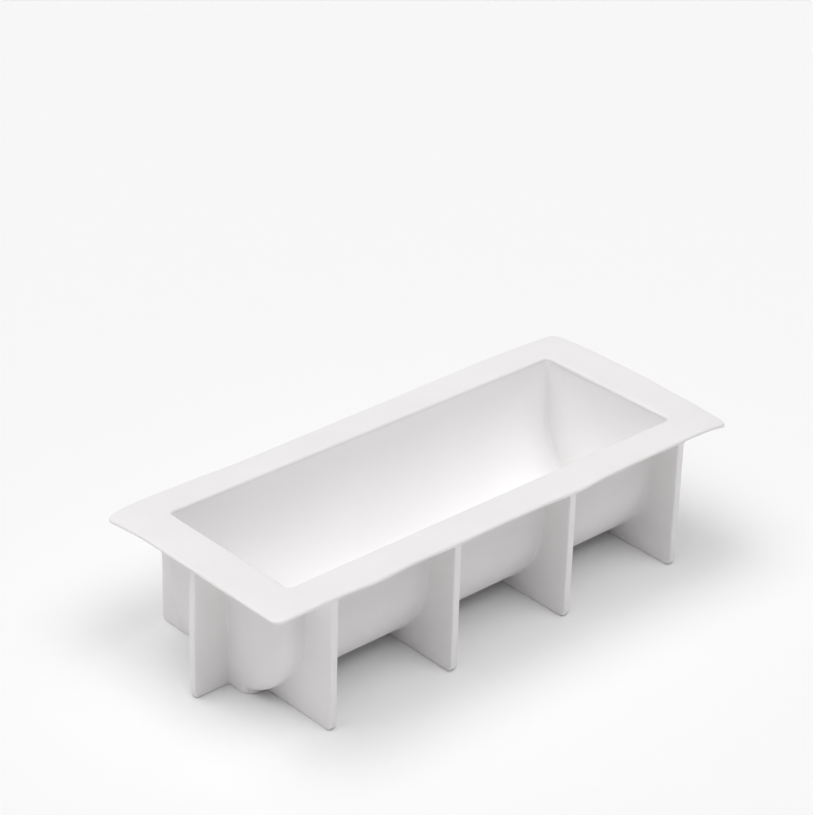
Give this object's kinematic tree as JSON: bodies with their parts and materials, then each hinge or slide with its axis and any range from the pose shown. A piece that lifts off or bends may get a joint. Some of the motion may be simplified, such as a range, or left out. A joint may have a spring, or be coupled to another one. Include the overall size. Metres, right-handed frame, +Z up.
{
  "type": "soap mould",
  "caption": "Flexible silicone soap mould: an open round-bottomed trough with a flat rim, standing on upright side and end fins and a flat strip.",
  "frame": {"origin": "on the surface that the mould stands on, under the middle of the cavity", "axes": "+X along the trough, +Y across it, +Z up through the open mouth"},
  "size_m": [0.2954, 0.1252, 0.072],
  "materials": {
    "silicone": "satin white platinum-cured silicone, as moulded"
  },
  "bodies": {
    "root": {"cavity_trough": "silicone", "end_wall_left": "silicone", "end_wall_right": "silicone", "rim_flange": "silicone", "keel_strip": "silicone", "side_fin_front_1": "silicone", "side_fin_front_2": "silicone", "side_fin_front_3": "silicone", "side_fin_front_4": "silicone", "side_fin_rear_1": "silicone", "side_fin_rear_2": "silicone", "side_fin_rear_3": "silicone", "side_fin_rear_4": "silicone", "end_fin_left": "silicone", "end_fin_right": "silicone"}
  },
  "joints": []
}
